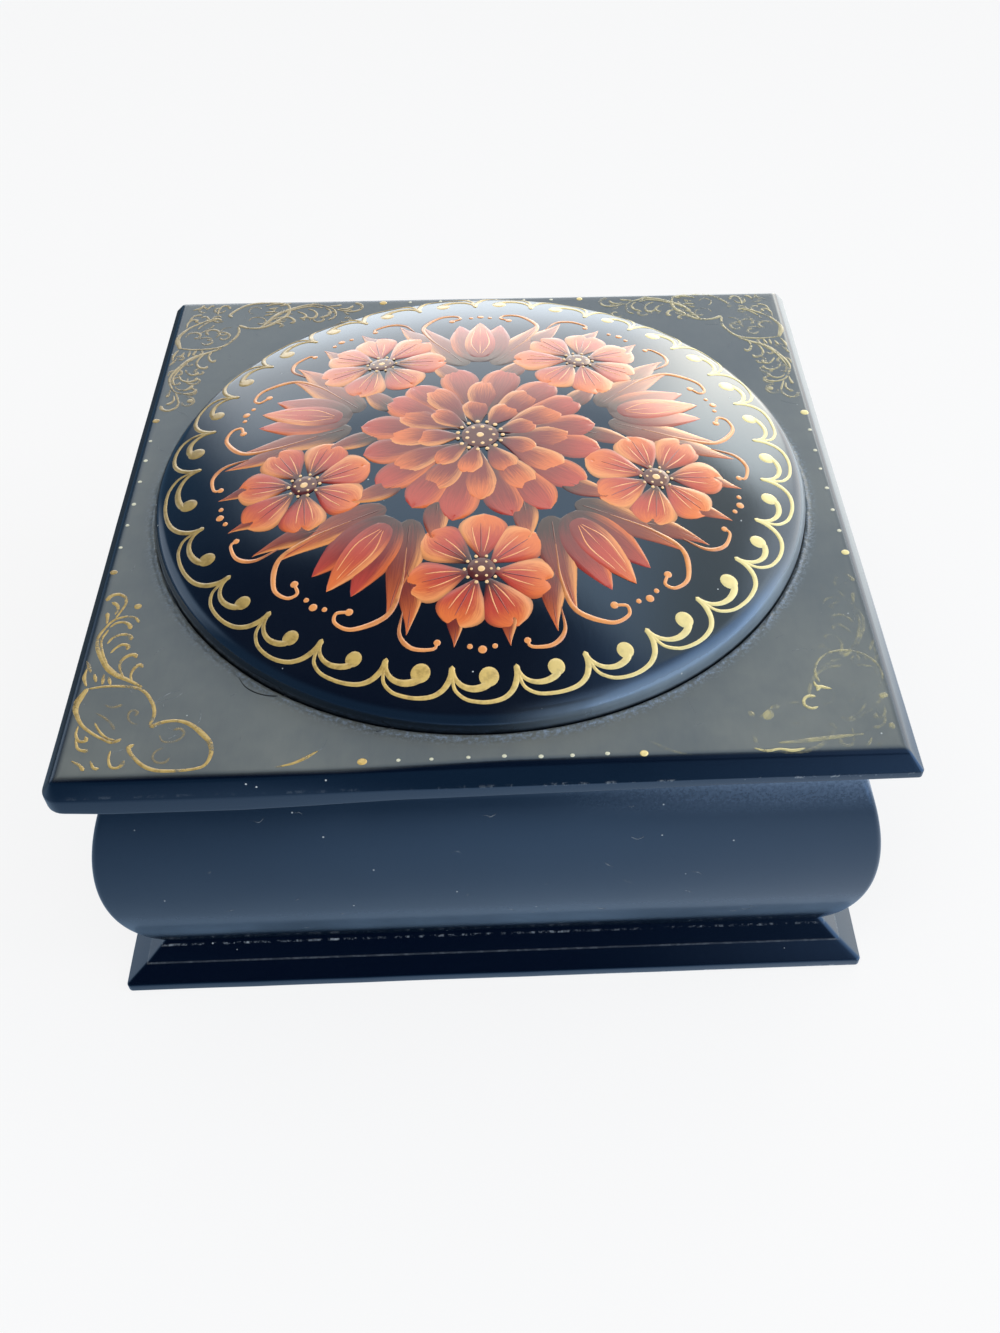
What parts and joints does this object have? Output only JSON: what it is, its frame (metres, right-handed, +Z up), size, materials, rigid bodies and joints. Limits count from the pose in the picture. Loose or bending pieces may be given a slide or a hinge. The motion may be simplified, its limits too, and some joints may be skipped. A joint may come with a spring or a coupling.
{
  "type": "lacquer box",
  "caption": "Square lacquered box for small keepsakes, with bulging mitred walls, a moulded base board and a hinged lid board that carries a domed disc.",
  "frame": {"origin": "centre of the underside of the base board, on the surface that the box stands on", "axes": "+Z up, front of the box towards -Y, hinges towards +Y, +X to the right seen from the front"},
  "size_m": [0.101, 0.101, 0.0543],
  "materials": {
    "lacquer": "black lacquer over wood, high gloss, red lacquer inside",
    "painted_lacquer": "black lacquer over wood, painted and varnished, high gloss",
    "hinge_brass": "dull brass"
  },
  "bodies": {
    "box": {"base_board": "lacquer", "front_wall": "lacquer", "right_wall": "lacquer", "back_wall": "lacquer", "left_wall": "lacquer", "left_lower_leaf": "hinge_brass", "right_lower_leaf": "hinge_brass", "left_hinge_pin": "hinge_brass", "right_hinge_pin": "hinge_brass", "wall_screws": "hinge_brass"},
    "lid": {"lid_board": "lacquer", "domed_disc": "painted_lacquer", "left_upper_leaf": "hinge_brass", "right_upper_leaf": "hinge_brass", "lid_screws": "hinge_brass"}
  },
  "joints": [
    {"name": "lid_hinge", "type": "hinge", "parent": "box", "child": "lid", "pos_m": [0, 0.04675, 0.0415], "axis": [-1, 0, 0], "range_deg": [0, 110]}
  ]
}
